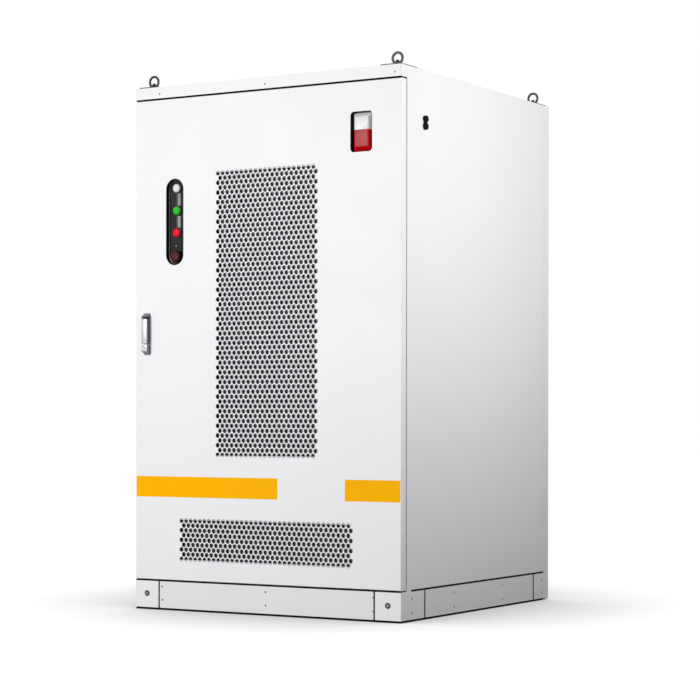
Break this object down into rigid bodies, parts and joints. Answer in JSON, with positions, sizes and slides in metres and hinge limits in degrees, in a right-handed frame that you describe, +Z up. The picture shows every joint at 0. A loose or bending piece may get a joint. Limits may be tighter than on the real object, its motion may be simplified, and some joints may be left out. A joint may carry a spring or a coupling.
{
  "type": "battery storage unit",
  "caption": "Floor-standing battery storage cabinet with a perforated hinged door, signal lamps, emergency button, alarm, swing handle and lifting eyes.",
  "frame": {"origin": "centre of the plinth's underside, between the four floor anchors", "axes": "+Z up; the door faces -Y; +X is the right side seen from the front"},
  "size_m": [1.068, 1.1176, 1.85],
  "materials": {
    "cabinet_paint": "fine powder coat, very light grey",
    "galvanised_steel": "zinc-coated sheet",
    "black_steel": "black powder coat",
    "bright_zinc": "bright zinc",
    "black_plastic": "matt black",
    "soft_seal": "soft foam rubber",
    "filter_fleece": "dark fleece",
    "tray_plastic": "glossy dark grey",
    "white_lens": "milky lens",
    "green_lens": "clear lens",
    "red_lens": "clear lens",
    "dark_red_plastic": "satin dark red",
    "alarm_red": "glossy red sounder case",
    "alarm_lens_clear": "milky light cover",
    "handle_metal": "satin cast",
    "bright_metal": "polished",
    "module_case": "dark case",
    "converter_case": "grey case",
    "grey_plastic": "light grey",
    "switch_black": "matt black",
    "switch_red": "matt red",
    "copper_bar": "plain copper"
  },
  "bodies": {
    "cabinet": {"battery_module_1": "module_case", "battery_module_2": "module_case", "battery_module_3": "module_case", "battery_module_4": "module_case", "battery_module_5": "module_case", "battery_module_6": "module_case", "battery_module_7": "module_case", "battery_module_8": "module_case", "battery_rack": "black_steel", "blanking_plugs": "black_plastic", "breaker_block": "grey_plastic", "busbars": "copper_bar", "control_unit": "grey_plastic", "corner_posts": "galvanised_steel", "door_seal": "soft_seal", "eye_bolts": "bright_zinc", "fan_frame": "black_plastic", "fascia": "cabinet_paint", "floor_plate": "galvanised_steel", "frame_rails": "galvanised_steel", "hinge_pins": "bright_zinc", "isolator_base": "grey_plastic", "lifting_plates": "black_steel", "plinth_bolts": "black_steel", "plinth_corner_front_left": "cabinet_paint", "plinth_corner_front_right": "cabinet_paint", "plinth_corner_rear_left": "cabinet_paint", "plinth_corner_rear_right": "cabinet_paint", "plinth_cover_front": "cabinet_paint", "plinth_cover_left": "cabinet_paint", "plinth_cover_rear": "cabinet_paint", "plinth_cover_right": "cabinet_paint", "power_converter": "converter_case", "rear_cover": "cabinet_paint", "roof_panel": "cabinet_paint", "side_panel_left": "cabinet_paint", "side_panel_right": "cabinet_paint", "switch_plate": "galvanised_steel"},
    "door": {"door_skin": "cabinet_paint", "door_stiffeners": "galvanised_steel", "hinge_bushes": "bright_zinc", "filter_mats": "filter_fleece", "indicator_tray": "tray_plastic", "white_lamp": "white_lens", "green_lamp": "green_lens", "red_lamp": "red_lens", "button_base": "black_plastic", "alarm_base": "alarm_red", "alarm_lens": "alarm_lens_clear", "lock_housing": "handle_metal", "rod_guides": "galvanised_steel"},
    "lock_rotor": {"lock_rotor": "galvanised_steel"},
    "lock_lever": {"lock_lever": "handle_metal"},
    "key_cylinder": {"key_cylinder": "bright_metal"},
    "upper_rod": {"upper_rod": "galvanised_steel"},
    "lower_rod": {"lower_rod": "galvanised_steel"},
    "emergency_button": {"emergency_button": "dark_red_plastic"},
    "breaker_toggle": {"breaker_toggle": "switch_black"},
    "isolator_knob": {"isolator_knob": "switch_red"},
    "fan_rotor": {"fan_rotor": "black_plastic"}
  },
  "joints": [
    {"name": "door_hinge", "type": "hinge", "parent": "cabinet", "child": "door", "pos_m": [0.517, -0.536, 0.9], "axis": [0, 0, 1], "range_deg": [0, 120]},
    {"name": "lock_turn", "type": "hinge", "parent": "door", "child": "lock_rotor", "pos_m": [-0.479, -0.548, 0.993], "axis": [0, -1, 0], "range_deg": [0, 90]},
    {"name": "lever_lift", "type": "hinge", "parent": "lock_rotor", "child": "lock_lever", "pos_m": [-0.479, -0.5625, 0.993], "axis": [-1, 0, 0], "range_deg": [0, 35]},
    {"name": "key_turn", "type": "hinge", "parent": "door", "child": "key_cylinder", "pos_m": [-0.479, -0.569, 0.90225], "axis": [0, -1, 0], "range_deg": [0, 90]},
    {"name": "upper_rod_slide", "type": "slide", "parent": "door", "child": "upper_rod", "axis": [0, 0, -1], "range_m": [0, 0.0181]},
    {"name": "lower_rod_slide", "type": "slide", "parent": "door", "child": "lower_rod", "axis": [0, 0, 1], "range_m": [0, 0.0181]},
    {"name": "button_press", "type": "slide", "parent": "door", "child": "emergency_button", "axis": [0, 1, 0], "range_m": [0, 0.006]},
    {"name": "breaker_switch", "type": "hinge", "parent": "cabinet", "child": "breaker_toggle", "pos_m": [0.253, -0.3225, 1.069], "axis": [-1, 0, 0], "range_deg": [0, 50]},
    {"name": "isolator_turn", "type": "hinge", "parent": "cabinet", "child": "isolator_knob", "pos_m": [0.253, -0.308, 0.883], "axis": [0, -1, 0], "range_deg": [0, 90]},
    {"name": "fan_spin", "type": "hinge", "parent": "cabinet", "child": "fan_rotor", "pos_m": [0.253, -0.45, 0.562], "axis": [0, 1, 0], "continuous": true}
  ],
  "couplings": [
    {"joint": "upper_rod_slide", "follows": "lock_turn", "m_per_rad": 0.011459},
    {"joint": "lower_rod_slide", "follows": "lock_turn", "m_per_rad": 0.011459}
  ]
}
